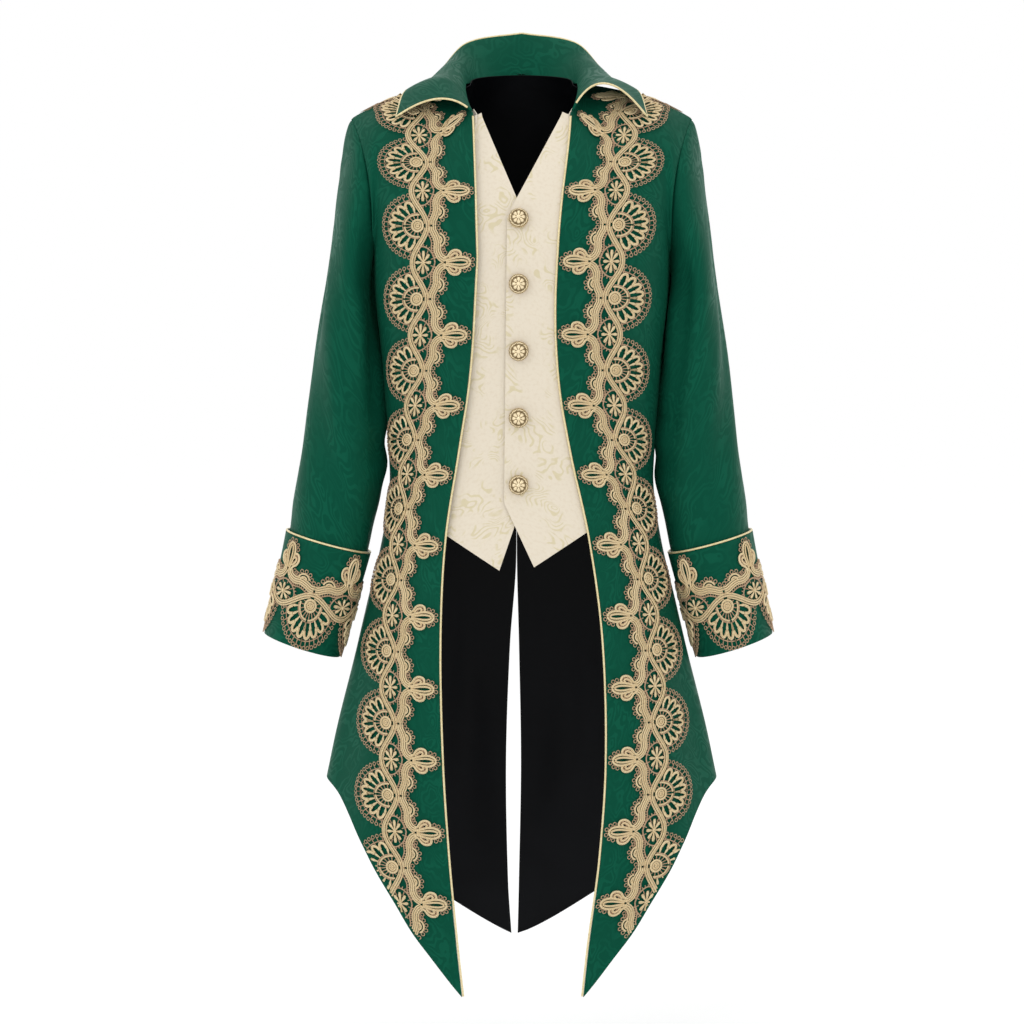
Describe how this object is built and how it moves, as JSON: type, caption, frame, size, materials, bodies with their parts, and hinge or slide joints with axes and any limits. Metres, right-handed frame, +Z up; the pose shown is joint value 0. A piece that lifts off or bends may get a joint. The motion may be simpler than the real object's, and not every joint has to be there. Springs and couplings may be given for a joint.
{
  "type": "suit jacket, a tailcoat with a mock waistcoat front",
  "caption": "Swallow-tailed dress coat with a stand-fall collar, turned-back cuffs, lace-trimmed fronts and a buttoned mock waistcoat, filled out as worn.",
  "frame": {"origin": "midway between the neck ends of the two shoulder seams, where the coat hangs on the shoulders", "axes": "+Z up along the wearer's height, -Y towards the wearer's front, +X towards the wearer's left"},
  "size_m": [0.6395, 0.299, 1.186],
  "materials": {
    "green_brocade": "deep green tone-on-tone scroll jacquard with a satin sheen",
    "ivory_brocade": "ivory jacquard with pale gold vines",
    "gold_lace": "antique gold guipure lace",
    "piping": "pale gold satin cord",
    "black_lining": "black satin lining",
    "brass_button": "bright antique gold with a flower in low relief"
  },
  "bodies": {
    "root": {"front_left": "green_brocade", "back_left": "green_brocade", "top_sleeve_left": "green_brocade", "under_sleeve_left": "green_brocade", "cuff_left": "green_brocade", "tail_lining_left": "black_lining", "waistcoat_left": "ivory_brocade", "piping_front_left": "piping", "piping_cuff_left": "piping", "lace_front_left": "gold_lace", "lace_cuff_left": "gold_lace", "front_right": "green_brocade", "back_right": "green_brocade", "top_sleeve_right": "green_brocade", "under_sleeve_right": "green_brocade", "cuff_right": "green_brocade", "tail_lining_right": "black_lining", "waistcoat_right": "ivory_brocade", "piping_front_right": "piping", "piping_cuff_right": "piping", "lace_front_right": "gold_lace", "lace_cuff_right": "gold_lace", "collar": "green_brocade", "piping_collar": "piping", "neck_lining": "black_lining", "button_1": "brass_button", "button_2": "brass_button", "button_3": "brass_button", "button_4": "brass_button", "button_5": "brass_button"}
  },
  "joints": []
}
